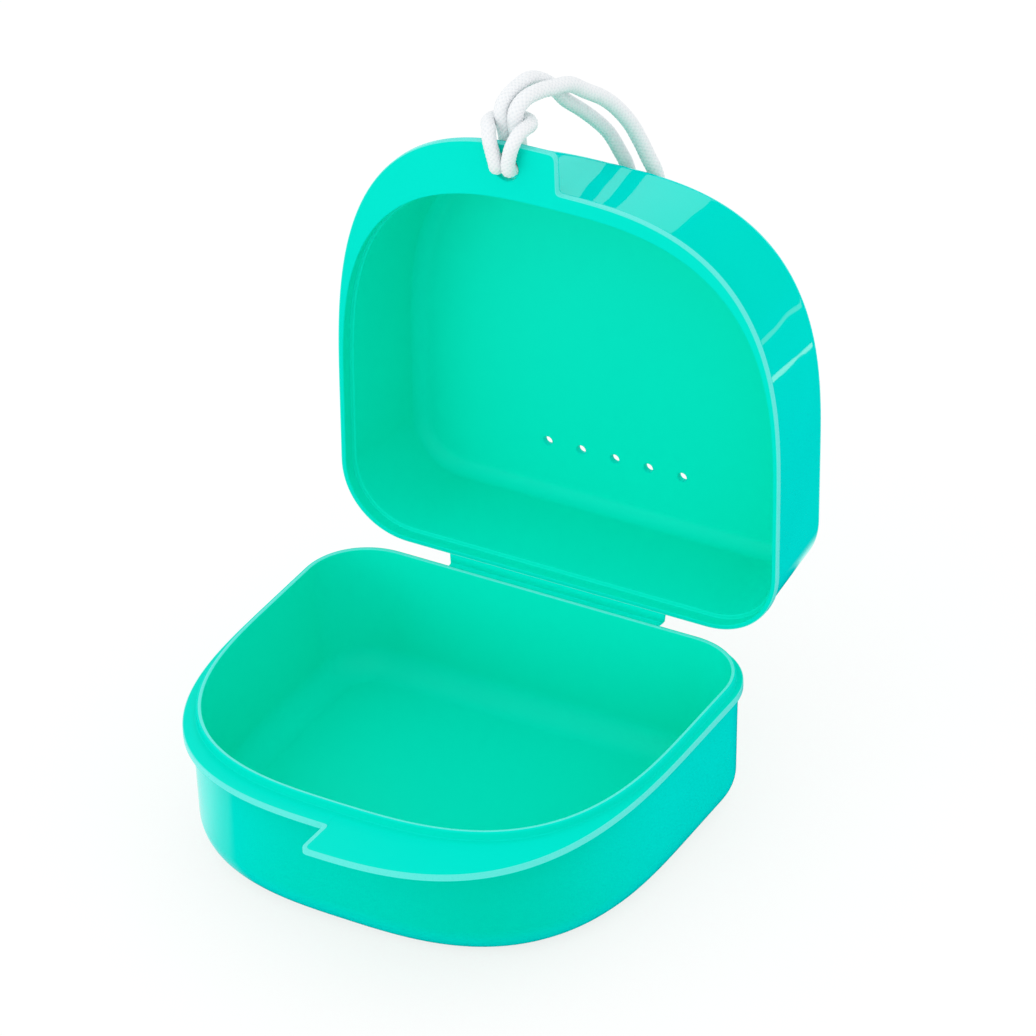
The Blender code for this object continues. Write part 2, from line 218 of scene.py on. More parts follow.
def add_camera():
    """Camera in front of the case, to its right and above."""
    data = bpy.data.cameras.new("camera")
    data.lens = LENS
    data.sensor_width = SENSOR
    data.clip_start = 0.1
    data.clip_end = 10
    data.dof.use_dof = False
    camera = bpy.data.objects.new("camera", data)
    back = Vector((
        math.sin(AZIMUTH) * math.cos(ELEVATION),
        -math.cos(AZIMUTH) * math.cos(ELEVATION),
        math.sin(ELEVATION),
    ))
    level = Vector((math.cos(AZIMUTH), math.sin(AZIMUTH), 0))
    upright = back.cross(level)
    right = level * math.cos(ROLL) + upright * math.sin(ROLL)
    up = back.cross(right)
    camera.matrix_world = Matrix.Translation(AIM + back * DISTANCE) @ Matrix((right, up, back)).transposed().to_4x4()
    bpy.context.scene.collection.objects.link(camera)
    bpy.context.scene.camera = camera


class Formula:
    """Adds Math nodes to a node tree, each returning its output socket."""

    def __init__(self, tree):
        self.tree = tree

    def __call__(self, operation, *values):
        """One Math node; each value is a number or a socket."""
        node = self.tree.nodes.new("ShaderNodeMath")
        node.operation = operation
        for socket, value in zip(node.inputs, values):
            if isinstance(value, bpy.types.NodeSocket):
                self.tree.links.new(value, socket)
            else:
                socket.default_value = value
        return node.outputs[0]


def group_sockets(tree, inputs, outputs):
    """Named sockets of a node group, with their types and first values."""
    for name, kind, value in inputs:
        socket = tree.interface.new_socket(name, in_out="INPUT", socket_type=kind)
        if value is not None:
            socket.default_value = value
    for name, kind in outputs:
        tree.interface.new_socket(name, in_out="OUTPUT", socket_type=kind)


def braid_group():
    """Geometry nodes that lay a round braid of yarns along a curve."""
    tree = bpy.data.node_groups.new("round_braid", "GeometryNodeTree")
    group_sockets(
        tree,
        [
            ("Route", "NodeSocketGeometry", None),
            ("Radius", "NodeSocketFloat", CORD_DIAMETER / 2),
            ("Spacing", "NodeSocketFloat", CORD_SPACING),
            ("Yarns", "NodeSocketFloat", YARNS),
            ("Plait Length", "NodeSocketFloat", PLAIT_LENGTH),
            ("Relief", "NodeSocketFloat", YARN_RELIEF),
            ("Sides", "NodeSocketInt", 56),
            ("Surface", "NodeSocketMaterial", None),
        ],
        [("Cord", "NodeSocketGeometry")],
    )
    new = tree.nodes.new
    link = tree.links.new
    formula = Formula(tree)
    given = new("NodeGroupInput").outputs
    made = new("NodeGroupOutput").inputs

    resample = new("GeometryNodeResampleCurve")
    resample.mode = "LENGTH"
    link(given["Route"], resample.inputs["Curve"])
    link(given["Spacing"], resample.inputs["Length"])
    along = new("GeometryNodeSplineParameter")
    along_route = new("GeometryNodeCaptureAttribute")
    along_route.capture_items.new("FLOAT", "Along")
    link(resample.outputs["Curve"], along_route.inputs["Geometry"])
    link(along.outputs["Length"], along_route.inputs["Along"])

    circle = new("GeometryNodeCurvePrimitiveCircle")
    link(given["Radius"], circle.inputs["Radius"])
    link(given["Sides"], circle.inputs["Resolution"])
    around = new("GeometryNodeSplineParameter")
    around_circle = new("GeometryNodeCaptureAttribute")
    around_circle.capture_items.new("FLOAT", "Around")
    link(circle.outputs["Curve"], around_circle.inputs["Geometry"])
    link(around.outputs["Factor"], around_circle.inputs["Around"])

    tube = new("GeometryNodeCurveToMesh")
    link(along_route.outputs["Geometry"], tube.inputs["Curve"])
    link(around_circle.outputs["Geometry"], tube.inputs["Profile Curve"])
    tube.inputs["Fill Caps"].default_value = True

    turns = formula("DIVIDE", along_route.outputs["Along"], given["Plait Length"])
    right_hand = formula("MULTIPLY", formula("ADD", around_circle.outputs["Around"], turns), given["Yarns"])
    left_hand = formula("MULTIPLY", formula("SUBTRACT", around_circle.outputs["Around"], turns), given["Yarns"])
    heights = []
    for own, other, sign in ((right_hand, left_hand, 1), (left_hand, right_hand, -1)):
        crown = formula("SINE", formula("MULTIPLY", formula("FRACT", own), math.pi))
        odd = formula("FLOORED_MODULO", formula("FLOOR", own), 2)
        side = formula("MULTIPLY_ADD", odd, -2 * sign, sign)
        wave = formula("MULTIPLY", formula("SINE", formula("MULTIPLY", other, math.pi)), side)
        heights.append(formula("MULTIPLY_ADD", wave, 0.5, crown))
    height = formula("MAXIMUM", *heights)

    store = new("GeometryNodeStoreNamedAttribute")
    store.data_type = "FLOAT"
    store.domain = "POINT"
    store.inputs["Name"].default_value = "yarn_height"
    link(tube.outputs["Mesh"], store.inputs["Geometry"])
    link(height, store.inputs["Value"])

    normal = new("GeometryNodeInputNormal")
    rise = formula("MULTIPLY", formula("SUBTRACT", height, 1.1), given["Relief"])
    scale = new("ShaderNodeVectorMath")
    scale.operation = "SCALE"
    link(normal.outputs["Normal"], scale.inputs[0])
    link(rise, scale.inputs["Scale"])
    move = new("GeometryNodeSetPosition")
    link(store.outputs["Geometry"], move.inputs["Geometry"])
    link(scale.outputs["Vector"], move.inputs["Offset"])

    smooth = new("GeometryNodeSetShadeSmooth")
    link(move.outputs["Geometry"], smooth.inputs["Geometry"])
    realize = new("GeometryNodeRealizeInstances")
    link(smooth.outputs["Geometry"], realize.inputs["Geometry"])
    surface = new("GeometryNodeSetMaterial")
    link(realize.outputs["Geometry"], surface.inputs["Geometry"])
    link(given["Surface"], surface.inputs["Material"])
    link(surface.outputs["Geometry"], made["Cord"])
    return tree


def socket_id(tree, name):
    """Identifier of a group's input by its name."""
    for item in tree.interface.items_tree:
        if item.item_type == "SOCKET" and item.in_out == "INPUT" and item.name == name:
            return item.identifier
    raise ValueError(name)


def smooth_route(route, steps):
    """Points on a smooth curve through the points of a route."""
    through = [Vector(point) for point in route]
    padded = [2 * through[0] - through[1]] + through + [2 * through[-1] - through[-2]]
    points = []
    for before, start, end, after in zip(padded, padded[1:], padded[2:], padded[3:]):
        for step in range(steps):
            share = step / steps
            straight = (end - before) * share
            bend = (2 * before - 5 * start + 4 * end - after) * share ** 2
            twist = (3 * start - before - 3 * end + after) * share ** 3
            points.append(start + (straight + bend + twist) / 2)
    points.append(through[-1])
    return points


def plain_mesh(name, source):
    """Object of the evaluated shape of another object, which is then removed."""
    bpy.context.view_layer.update()
    evaluated = source.evaluated_get(bpy.context.evaluated_depsgraph_get())
    mesh = bpy.data.meshes.new_from_object(evaluated)
    mesh.name = name
    bpy.data.objects.remove(source, do_unlink=True)
    shape = bpy.data.objects.new(name, mesh)
    bpy.context.scene.collection.objects.link(shape)
    return shape


def braided(name, routes, braid, radius, surface):
    """Braided cord along one or more routes, as one mesh."""
    curve = bpy.data.curves.new(name, "CURVE")
    curve.dimensions = "3D"
    for points in routes:
        spline = curve.splines.new("POLY")
        spline.points.add(len(points) - 1)
        for control, point in zip(spline.points, points):
            control.co = (*point, 1)
    source = bpy.data.objects.new(name + "_route", curve)
    bpy.context.scene.collection.objects.link(source)
    weave = source.modifiers.new("round_braid", "NODES")
    weave.node_group = braid
    weave[socket_id(braid, "Surface")] = surface
    weave[socket_id(braid, "Radius")] = radius
    return plain_mesh(name, source)


def knot_routes():
    """Routes of the knot's wrap and of its two tails, from the middle of the strands' ends."""
    middle = (Vector(INNER_ROUTE[-1]) + Vector(OUTER_ROUTE[-1])) / 2
    wrap = []
    count = 24 * KNOT_TURNS
    for step in range(count + 1):
        angle = 2 * math.pi * step / 24
        drop = KNOT_DROP + CORD_DIAMETER / 2 + KNOT_PITCH * step / 24
        wrap.append(middle + Vector((KNOT_RADIUS * math.cos(angle), KNOT_RADIUS * math.sin(angle), -drop)))
    tails = []
    for end, side in ((Vector(INNER_ROUTE[-1]), -1), (Vector(OUTER_ROUTE[-1]), 1)):
        below = KNOT_DROP + KNOT_PITCH * KNOT_TURNS + CORD_DIAMETER
        tails.append([
            end,
            end + Vector((0, 0, -below / 2)),
            end + Vector((0, 0, -below)),
            end + Vector((side * TAIL_LENGTH / 8, 0, -below - TAIL_LENGTH / 3)),
            end + Vector((side * TAIL_LENGTH / 4, 0, -below - TAIL_LENGTH * 2 / 3)),
            end + Vector((side * TAIL_LENGTH / 3, 0, -below - TAIL_LENGTH)),
        ])
    return [wrap] + tails


def add_cord(surface):
    """Hitch, strands and knot of the wrist cord."""
    braid = braid_group()
    knot_paths = [[EYE + point for point in smooth_route(route, 4)] for route in knot_routes()]
    knot = braided("cord_knot", knot_paths, braid, CORD_DIAMETER / 2, surface)
    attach(knot, "lid")
    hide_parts("lanyard_knot")
    for name, node, route, radius, length, far_end, lay, extra in (
        ("cord_hitch", "lanyard_hitch", HITCH_ROUTE, HITCH_RADIUS, HITCH_LENGTH, "object", "taut", []),
        ("cord_inner_strand", "lanyard_inner_strand", INNER_ROUTE, INNER_RADIUS, INNER_LENGTH, "knot", "hanging", [knot]),
        ("cord_outer_strand", "lanyard_outer_strand", OUTER_ROUTE, OUTER_RADIUS, OUTER_LENGTH, "knot", "hanging", [knot]),
    ):
        path = [EYE + point for point in smooth_route(route, ROUTE_STEPS)]
        strand = braided(name, [path], braid, radius, surface)
        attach(strand, "lid")
        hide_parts(node)


def blended(first, second, share):
    """Value a share of the way from the first to the second."""
    return first + (second - first) * share


def rounded_corner(start, corner, end):
    """Points of a soft bend from start to end that leans towards their corner."""
    points = []
    for step in range(STEP_STEPS + 1):
        share = step / STEP_STEPS
        x = blended(blended(start[0], corner[0], share), blended(corner[0], end[0], share), share)
        y = blended(blended(start[1], corner[1], share), blended(corner[1], end[1], share), share)
        points.append((x, y))
    return points


def superellipse(reach_x, reach_y, exponent, angle):
    """Point of a superellipse about its own centre at a polar angle."""
    share_x = abs(math.cos(angle)) / reach_x
    share_y = abs(math.sin(angle)) / reach_y
    radius = (share_x ** exponent + share_y ** exponent) ** (-1 / exponent)
    return radius * math.cos(angle), radius * math.sin(angle)


def front_edge(half_width, depth, x):
    """How far forward the front curve lies at a given x."""
    share = (abs(x) / half_width) ** FRONT_EXPONENT
    return -CURVE_START - depth * (1 - share) ** (1 / FRONT_EXPONENT)


def lip_step(step, half_width, depth, lip_depth, inset):
    """Points of the slanted step from the narrow flange out to the thumb lip."""
    step_x, step_lean = step
    inner_x = step_x + inset
    outer_x = inner_x + step_lean
    inner = (inner_x, front_edge(half_width, depth, inner_x))
    outer = (outer_x, front_edge(half_width, lip_depth, outer_x))
    length = math.dist(inner, outer)
    inner_share = STEP_INNER_ROUND / length
    outer_share = 1 - STEP_OUTER_ROUND / length
    start_x = inner_x - STEP_INNER_ROUND
    end_x = outer_x + STEP_OUTER_ROUND
    start = (start_x, front_edge(half_width, depth, start_x))
    end = (end_x, front_edge(half_width, lip_depth, end_x))
    after_inner = (blended(inner[0], outer[0], inner_share), blended(inner[1], outer[1], inner_share))
    before_outer = (blended(inner[0], outer[0], outer_share), blended(inner[1], outer[1], outer_share))
    return rounded_corner(start, inner, after_inner) + rounded_corner(before_outer, outer, end)


def plain_step(step, half_width, depth):
    """Points of a wall's own front curve that pair with those of the lip's step."""
    middle = step[0] + STEP_SHIFT
    before = [blended(-STEP_SPREAD / 2, -STEP_GAP / 2, index / STEP_STEPS) for index in range(STEP_STEPS + 1)]
    after = [-offset for offset in reversed(before)]
    return [(middle + offset, front_edge(half_width, depth, middle + offset)) for offset in before + after]


def outline(step, inset, height, lip=False):
    """Ring round the moulding at a height, anticlockwise from the step at its front."""
    side, front, back = inset
    half_width = RIM_HALF_WIDTH - side
    depth = RIM_REACH - front - CURVE_START
    lip_depth = LIP_REACH - front - CURVE_START if lip else depth
    corner = CORNER_RADIUS - side
    corner_x = half_width - corner
    corner_y = -back - corner
    if lip:
        points = lip_step(step, half_width, depth, lip_depth, side)
    else:
        points = plain_step(step, half_width, depth)
    start_x, start_y = points[-1]
    start_angle = math.atan2(-CURVE_START - start_y, start_x)
    for index in range(1, QUARTER_STEPS + 1):
        x, y = superellipse(half_width, lip_depth, FRONT_EXPONENT, start_angle * (1 - index / QUARTER_STEPS))
        points.append((x, -CURVE_START - y))
    right_side = []
    for index in range(1, SIDE_STEPS):
        right_side.append((half_width, blended(-CURVE_START, corner_y, index / SIDE_STEPS)))
    for index in range(CORNER_STEPS + 1):
        x, y = superellipse(corner, corner, CORNER_EXPONENT, math.pi / 2 * index / CORNER_STEPS)
        right_side.append((corner_x + x, corner_y + y))
    points += right_side
    for index in range(1, BACK_STEPS):
        points.append((blended(corner_x, -corner_x, index / BACK_STEPS), -back))
    points += [(-x, y) for x, y in reversed(right_side)]
    end_x, end_y = points[0]
    end_angle = math.atan2(-CURVE_START - end_y, -end_x)
    for index in range(QUARTER_STEPS):
        x, y = superellipse(half_width, depth, FRONT_EXPONENT, end_angle * index / QUARTER_STEPS)
        points.append((-x, -CURVE_START - y))
    return [Vector((x, y, height)) for x, y in points]


def grown(inset, amount):
    """The same inset moved inwards all round."""
    return tuple(value + amount for value in inset)


def fillet_profile(step, inset, radius, lean, plane, upward, surface):
    """Rings of a quarter-round edge that starts flat on a plane and ends upright."""
    profile = []
    for index in range(FILLET_STEPS + 1):
        angle = math.pi / 2 * index / FILLET_STEPS
        ring_inset = grown(inset, lean + radius * (1 - math.sin(angle)))
        height = plane + upward * radius * (1 - math.cos(angle))
        profile.append((outline(step, ring_inset, height), 0, surface))
    return profile


POLISHED = 0
SATIN = 1
EDGE_HIGHLIGHT = 2
FACE = 3
STRAP = 4


def flange_profile(step, bottom, top, line):
    """Rings of the flange and its lip, from its root round the edge to its face, with a painted highlight line along
    the edge.
    """
    share, strip, step_strip = line
    highlight_start = blended(top, bottom, share)
    inner_step = (step[0] + step_strip, step[1])
    return [
        (outline(step, (0, 0, 0), bottom, lip=True), FLANGE_ROUND, POLISHED),
        (outline(step, (0, 0, 0), highlight_start, lip=True), 0, EDGE_HIGHLIGHT),
        (outline(step, (0, 0, 0), top, lip=True), FLANGE_ROUND, EDGE_HIGHLIGHT),
        (outline(inner_step, (strip, strip, strip), top, lip=True), 0, FACE),
    ]


def base_profile():
    """Rings of the base from its underside, up over the rim and down to the floor inside."""
    underside = BASE_HEIGHT - RIM_THICKNESS
    spigot_top = BASE_HEIGHT + SPIGOT_HEIGHT
    lean = BASE_DRAFT_SHARE * (underside - BASE_FOOT_RADIUS)
    inner_inset = grown(SPIGOT_INSET, SPIGOT_THICKNESS)
    inner_lean = BASE_INNER_DRAFT_SHARE * (spigot_top - BASE_FLOOR - BASE_INNER_RADIUS)
    highlight_inset = grown(inner_inset, -SPIGOT_THICKNESS * SPIGOT_HIGHLIGHT_SHARE)
    step = BASE_STEP
    profile = fillet_profile(step, BASE_WALL_INSET, BASE_FOOT_RADIUS, lean, 0, 1, POLISHED)
    profile.append((outline(step, BASE_WALL_INSET, underside), ROOT_ROUND, POLISHED))
    profile += flange_profile(step, underside, BASE_HEIGHT, BASE_HIGHLIGHT_LINE)
    profile.append((outline(step, SPIGOT_INSET, BASE_HEIGHT), ROOT_ROUND, FACE))
    profile.append((outline(step, SPIGOT_INSET, spigot_top), SPIGOT_ROUND, FACE))
    # Painted highlight line along the spigot's top
    profile.append((outline(step, highlight_inset, spigot_top), 0, EDGE_HIGHLIGHT))
    profile.append((outline(step, inner_inset, spigot_top), SPIGOT_ROUND, SATIN))
    floor = fillet_profile(step, inner_inset, BASE_INNER_RADIUS, inner_lean, BASE_FLOOR, 1, SATIN)
    profile += reversed(floor)
    return profile


def lid_profile():
    """Rings of the closed lid from the middle of its plate, down over the rim and up inside."""
    lean = LID_DRAFT_SHARE * (LID_DEPTH - RIM_THICKNESS - LID_EDGE_RADIUS)
    opening = tuple(spigot - clearance for spigot, clearance in zip(SPIGOT_INSET, REBATE_CLEARANCE))
    inner_inset = grown(LID_WALL_INSET, LID_WALL)
    ceiling = LID_DEPTH - LID_PLATE
    inner_lean = LID_DRAFT_SHARE * (ceiling - REBATE_DEPTH - LID_INNER_RADIUS)
    step = LID_STEP
    profile = fillet_profile(step, LID_WALL_INSET, LID_EDGE_RADIUS, lean, LID_DEPTH, -1, POLISHED)
    profile.append((outline(step, LID_WALL_INSET, RIM_THICKNESS), LEDGE_ROUND, POLISHED))
    profile += flange_profile(step, RIM_THICKNESS, 0, LID_HIGHLIGHT_LINE)
    profile.append((outline(step, opening, 0), LEDGE_ROUND, SATIN))
    profile.append((outline(step, opening, REBATE_DEPTH), LEDGE_ROUND, SATIN))
    profile.append((outline(step, inner_inset, REBATE_DEPTH), LEDGE_ROUND, SATIN))
    plate = fillet_profile(step, inner_inset, LID_INNER_RADIUS, inner_lean, ceiling, -1, SATIN)
    profile += reversed(plate)
    return profile


def towards(corner, other, distance):
    """Point a distance from a corner towards another point, short of halfway."""
    reach = (other - corner).length
    share = min(distance / reach, 0.45) if reach else 0
    return corner.lerp(other, share)


def softened(profile):
    """Rings of a profile, each corner ring opened into a soft bend, and the surface after each ring."""
    rings = []
    surfaces = []
    for index, (ring, softness, surface) in enumerate(profile):
        if not softness:
            rings.append(ring)
            surfaces.append(surface)
            continue
        before = profile[index - 1][0]
        after = profile[index + 1][0]
        earlier = profile[index - 1][2]
        for step in range(SOFT_STEPS + 1):
            share = step / SOFT_STEPS
            bend = []
            for previous, corner, following in zip(before, ring, after):
                start = towards(corner, previous, softness)
                end = towards(corner, following, softness)
                bend.append(start.lerp(corner, share).lerp(corner.lerp(end, share), share))
            rings.append(bend)
            surfaces.append(earlier if step < SOFT_STEPS / 2 else surface)
    return rings, surfaces


def lofted(name, profile, place, surfaces):
    """Closed shell skinned over a profile's rings, each point moved to its place."""
    rings, zones = softened(profile)
    mesh = bpy.data.meshes.new(name)
    model = bmesh.new()
    loops = [[model.verts.new(place(point)) for point in ring] for ring in rings]
    for lower, upper, zone in zip(loops, loops[1:], zones):
        for index in range(len(lower)):
            following = (index + 1) % len(lower)
            face = model.faces.new((lower[index], lower[following], upper[following], upper[index]))
            face.material_index = zone
    caps = [model.faces.new(reversed(loops[0])), model.faces.new(loops[-1])]
    caps[0].material_index = zones[0]
    caps[1].material_index = zones[-1]
    bmesh.ops.poke(model, faces=caps)
    bmesh.ops.recalc_face_normals(model, faces=model.faces)
    model.to_mesh(mesh)
    model.free()
    for surface in surfaces[:STRAP]:
        mesh.materials.append(surface)
    mesh.shade_smooth()
    mesh.set_sharp_from_angle(angle=math.radians(50))
    shell = bpy.data.objects.new(name, mesh)
    bpy.context.scene.collection.objects.link(shell)
    return shell


def flared_pin(model, diameter, thickness, centre, place):
    """Round cutter through a plate that widens at both faces, added to a mesh."""
    radius = diameter / 2
    half = thickness / 2
    flare = RIM_FLARE
    stations = [
        (-half - CUT_OVERRUN, radius + flare + CUT_OVERRUN),
        (-half, radius + flare),
        (-half + flare / 3, radius + flare / 3),
        (-half + flare, radius),
        (half - flare, radius),
        (half - flare / 3, radius + flare / 3),
        (half, radius + flare),
        (half + CUT_OVERRUN, radius + flare + CUT_OVERRUN),
    ]
    loops = []
    for height, reach in stations:
        loop = []
        for side in range(HOLE_SIDES):
            angle = 2 * math.pi * side / HOLE_SIDES
            point = centre + Vector((reach * math.cos(angle), reach * math.sin(angle), height))
            loop.append(model.verts.new(place(point)))
        loops.append(loop)
    for lower, upper in zip(loops, loops[1:]):
        for side in range(HOLE_SIDES):
            following = (side + 1) % HOLE_SIDES
            model.faces.new((lower[side], lower[following], upper[following], upper[side]))
    model.faces.new(reversed(loops[0]))
    model.faces.new(loops[-1])


def hole_cutters(surface):
    """One mesh of the cutters for the cord hole and the row of vents."""
    mesh = bpy.data.meshes.new("hole_cutters")
    model = bmesh.new()
    lip_middle = (RIM_THICKNESS + CLOSED_GAP) / 2
    flared_pin(model, HOLE_DIAMETER, RIM_THICKNESS,
               Vector((HOLE_X, -HOLE_REACH - HINGE_REACH, lip_middle)), opened)
    for index in range(VENT_COUNT):
        x = VENT_PITCH * (index - (VENT_COUNT - 1) / 2)
        plate_middle = LID_DEPTH - LID_PLATE / 2 + CLOSED_GAP / 2
        flared_pin(model, VENT_DIAMETER, LID_PLATE,
                   Vector((x, -VENT_REACH - HINGE_REACH, plate_middle)), opened)
    bmesh.ops.recalc_face_normals(model, faces=model.faces)
    model.to_mesh(mesh)
    model.free()
    mesh.materials.append(surface)
    mesh.shade_smooth()
    cutters = bpy.data.objects.new("hole_cutters", mesh)
    bpy.context.scene.collection.objects.link(cutters)
    return cutters


def flat_shaded(shell):
    """Large faces keep their own flat shading beside the soft edges."""
    weighted = shell.modifiers.new("flat_faces", "WEIGHTED_NORMAL")
    weighted.keep_sharp = True


def on_base(point):
    """Place of a point of the base's moulding."""
    return point + Vector((0, RIM_REACH / 2, 0))


def on_lid(point):
    """Place of a point of the lid's moulding, with the lid open."""
    return opened(Vector((-point.x, point.y - HINGE_REACH, point.z + CLOSED_GAP / 2)))


def add_shells(surfaces):
    """Base and lid."""
    base = lofted("base_moulding_form", base_profile(), on_base, surfaces)
    flat_shaded(base)
    base = plain_mesh("base_moulding", base)
    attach(base, "base")
    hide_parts("base_shell")

    lid = lofted("lid_moulding_form", lid_profile(), on_lid, surfaces)
    cutters = hole_cutters(surfaces[FACE])
    cut = lid.modifiers.new("holes", "BOOLEAN")
    cut.operation = "DIFFERENCE"
    cut.solver = "EXACT"
    cut.object = cutters
    flat_shaded(lid)
    lid = plain_mesh("lid_moulding", lid)
    bpy.data.objects.remove(cutters, do_unlink=True)
    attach(lid, "lid")
    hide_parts("lid_shell")


def hinge_stations():
    """Middle line, outward direction and thinning share of the hinge strap at stations along its length."""
    middle = (CLOSED_GAP + HINGE_THICKNESS) / 2
    stations = []
    for share in (0, 1 / 3, 2 / 3):
        y = blended(-HINGE_REACH - HINGE_OVERLAP, 0, share)
        stations.append((PIVOT + Vector((0, y, -middle)), Vector((0, 0, -1)), share))
    bend_steps = 10
    for step in range(bend_steps + 1):
        angle = OPEN_ANGLE * step / bend_steps
        outward = Vector((0, math.sin(angle), -math.cos(angle)))
        stations.append((PIVOT + outward * middle, outward, 1))
    outward = Matrix.Rotation(-OPEN_ANGLE, 3, "X") @ Vector((0, 0, 1))
    for share in (2 / 3, 1 / 3, 0):
        y = blended(-HINGE_REACH - HINGE_OVERLAP, 0, share)
        stations.append((opened(Vector((0, y, middle))), outward, share))
    return stations


def strap_ring(centre, outward, thickness, left, right):
    """Ring across the strap with softly rounded edges."""
    ring = []
    half = thickness / 2
    soft = min(HINGE_EDGE_ROUND, half * 0.9)
    for side, reach in ((1, right), (-1, left)):
        for face in (1, -1) if side == 1 else (-1, 1):
            for step in range(SOFT_STEPS + 1):
                angle = math.pi / 2 * step / SOFT_STEPS
                if side * face == 1:
                    across, over = math.sin(angle), math.cos(angle)
                else:
                    across, over = math.cos(angle), math.sin(angle)
                x = side * (reach - soft + soft * across)
                ring.append(centre + Vector((x, 0, 0)) + outward * face * (half - soft + soft * over))
    return ring


def add_hinge(surfaces):
    """Thin strap between the two flanges, thinnest at its fold."""
    mesh = bpy.data.meshes.new("living_hinge")
    model = bmesh.new()
    loops = []
    stations = hinge_stations()
    for index, (centre, outward, share) in enumerate(stations):
        along = index / (len(stations) - 1)
        thickness = blended(HINGE_THICKNESS, HINGE_WEB, share)
        left = HINGE_HALF_WIDTH + blended(*HINGE_LEFT_FLARE, along)
        right = HINGE_HALF_WIDTH + blended(*HINGE_RIGHT_FLARE, along)
        ring = strap_ring(centre, outward, thickness, left, right)
        loops.append([model.verts.new(point) for point in ring])
    for lower, upper in zip(loops, loops[1:]):
        for side in range(len(lower)):
            following = (side + 1) % len(lower)
            model.faces.new((lower[side], lower[following], upper[following], upper[side]))
    model.faces.new(reversed(loops[0]))
    model.faces.new(loops[-1])
    bmesh.ops.recalc_face_normals(model, faces=model.faces)
    model.to_mesh(mesh)
    model.free()
    mesh.materials.append(surfaces[STRAP])
    mesh.shade_smooth()
    mesh.set_sharp_from_angle(angle=math.radians(50))
    strap = bpy.data.objects.new("living_hinge_form", mesh)
    bpy.context.scene.collection.objects.link(strap)
    flat_shaded(strap)
    strap = plain_mesh("living_hinge", strap)
    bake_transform(strap)
    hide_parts("hinge_leaf_base", "hinge_leaf_lid")


def mould_group():
    """Shader nodes for the slow tone drift and fine grain of moulded plastic."""
    tree = bpy.data.node_groups.new("moulded_variation", "ShaderNodeTree")
    group_sockets(
        tree,
        [
            ("Tone Size", "NodeSocketFloat", 22),
            ("Grain Size", "NodeSocketFloat", 2600),
            ("Tone Spread", "NodeSocketFloat", 0.05),
        ],
        [("Tone", "NodeSocketFloat"), ("Grain", "NodeSocketFloat"), ("Ripple", "NodeSocketFloat")],
    )
    new = tree.nodes.new
    link = tree.links.new
    formula = Formula(tree)
    given = new("NodeGroupInput").outputs
    made = new("NodeGroupOutput").inputs
    place = new("ShaderNodeTexCoord")
    tone = new("ShaderNodeTexNoise")
    tone.inputs["Detail"].default_value = 2
    link(place.outputs["Object"], tone.inputs["Vector"])
    link(given["Tone Size"], tone.inputs["Scale"])
    spread = formula("MULTIPLY", formula("SUBTRACT", tone.outputs[0], 0.5), given["Tone Spread"])
    link(formula("ADD", spread, 1), made["Tone"])
    grain = new("ShaderNodeTexNoise")
    grain.inputs["Detail"].default_value = 3
    link(place.outputs["Object"], grain.inputs["Vector"])
    link(given["Grain Size"], grain.inputs["Scale"])
    link(grain.outputs[0], made["Grain"])
    ripple = new("ShaderNodeTexNoise")
    ripple.inputs["Scale"].default_value = 60
    ripple.inputs["Detail"].default_value = 1
    link(place.outputs["Object"], ripple.inputs["Vector"])
    link(ripple.outputs[0], made["Ripple"])
    return tree


def plastic(name, variation, colour, grazing_sheen_colour, roughness, specular, grain, ripple):
    """Moulded turquoise plastic of one finish, whose colour turns to a paler painted sheen where a surface is seen
    edge-on.
    """
    surface = bpy.data.materials.new(name)
    surface.use_nodes = True
    tree = surface.node_tree
    new = tree.nodes.new
    link = tree.links.new
    formula = Formula(tree)
    shader = tree.nodes["Principled BSDF"]
    change = new("ShaderNodeGroup")
    change.node_tree = variation
    tint = new("ShaderNodeMix")
    tint.data_type = "RGBA"
    tint.blend_type = "MULTIPLY"
    tint.inputs["Factor"].default_value = 1
    # Painted sheen: the colour turns towards the paler sheen colour where the surface is seen edge-on
    facing = new("ShaderNodeLayerWeight")
    facing.inputs["Blend"].default_value = 0.5
    grazing_sheen_mix = new("ShaderNodeMix")
    grazing_sheen_mix.data_type = "RGBA"
    grazing_sheen_mix.inputs[6].default_value = (*colour, 1)
    grazing_sheen_mix.inputs[7].default_value = (*grazing_sheen_colour, 1)
    link(facing.outputs["Facing"], grazing_sheen_mix.inputs["Factor"])
    link(grazing_sheen_mix.outputs[2], tint.inputs[6])
    link(change.outputs["Tone"], tint.inputs[7])
    link(tint.outputs[2], shader.inputs["Base Color"])
    link(formula("MULTIPLY_ADD", change.outputs["Grain"], roughness / 4, roughness), shader.inputs["Roughness"])
    shader.inputs["Specular IOR Level"].default_value = specular
    fine = new("ShaderNodeBump")
    fine.inputs["Strength"].default_value = grain
    fine.inputs["Distance"].default_value = 0.00005
    link(change.outputs["Grain"], fine.inputs["Height"])
    broad = new("ShaderNodeBump")
    broad.inputs["Strength"].default_value = ripple
    broad.inputs["Distance"].default_value = 0.0008
    link(change.outputs["Ripple"], broad.inputs["Height"])
    link(fine.outputs["Normal"], broad.inputs["Normal"])
    link(broad.outputs["Normal"], shader.inputs["Normal"])
    return surface


def seen_by(tree, kind):
    """Output that is 1 for one kind of ray."""
    return tree.nodes.new("ShaderNodeLightPath").outputs[kind]


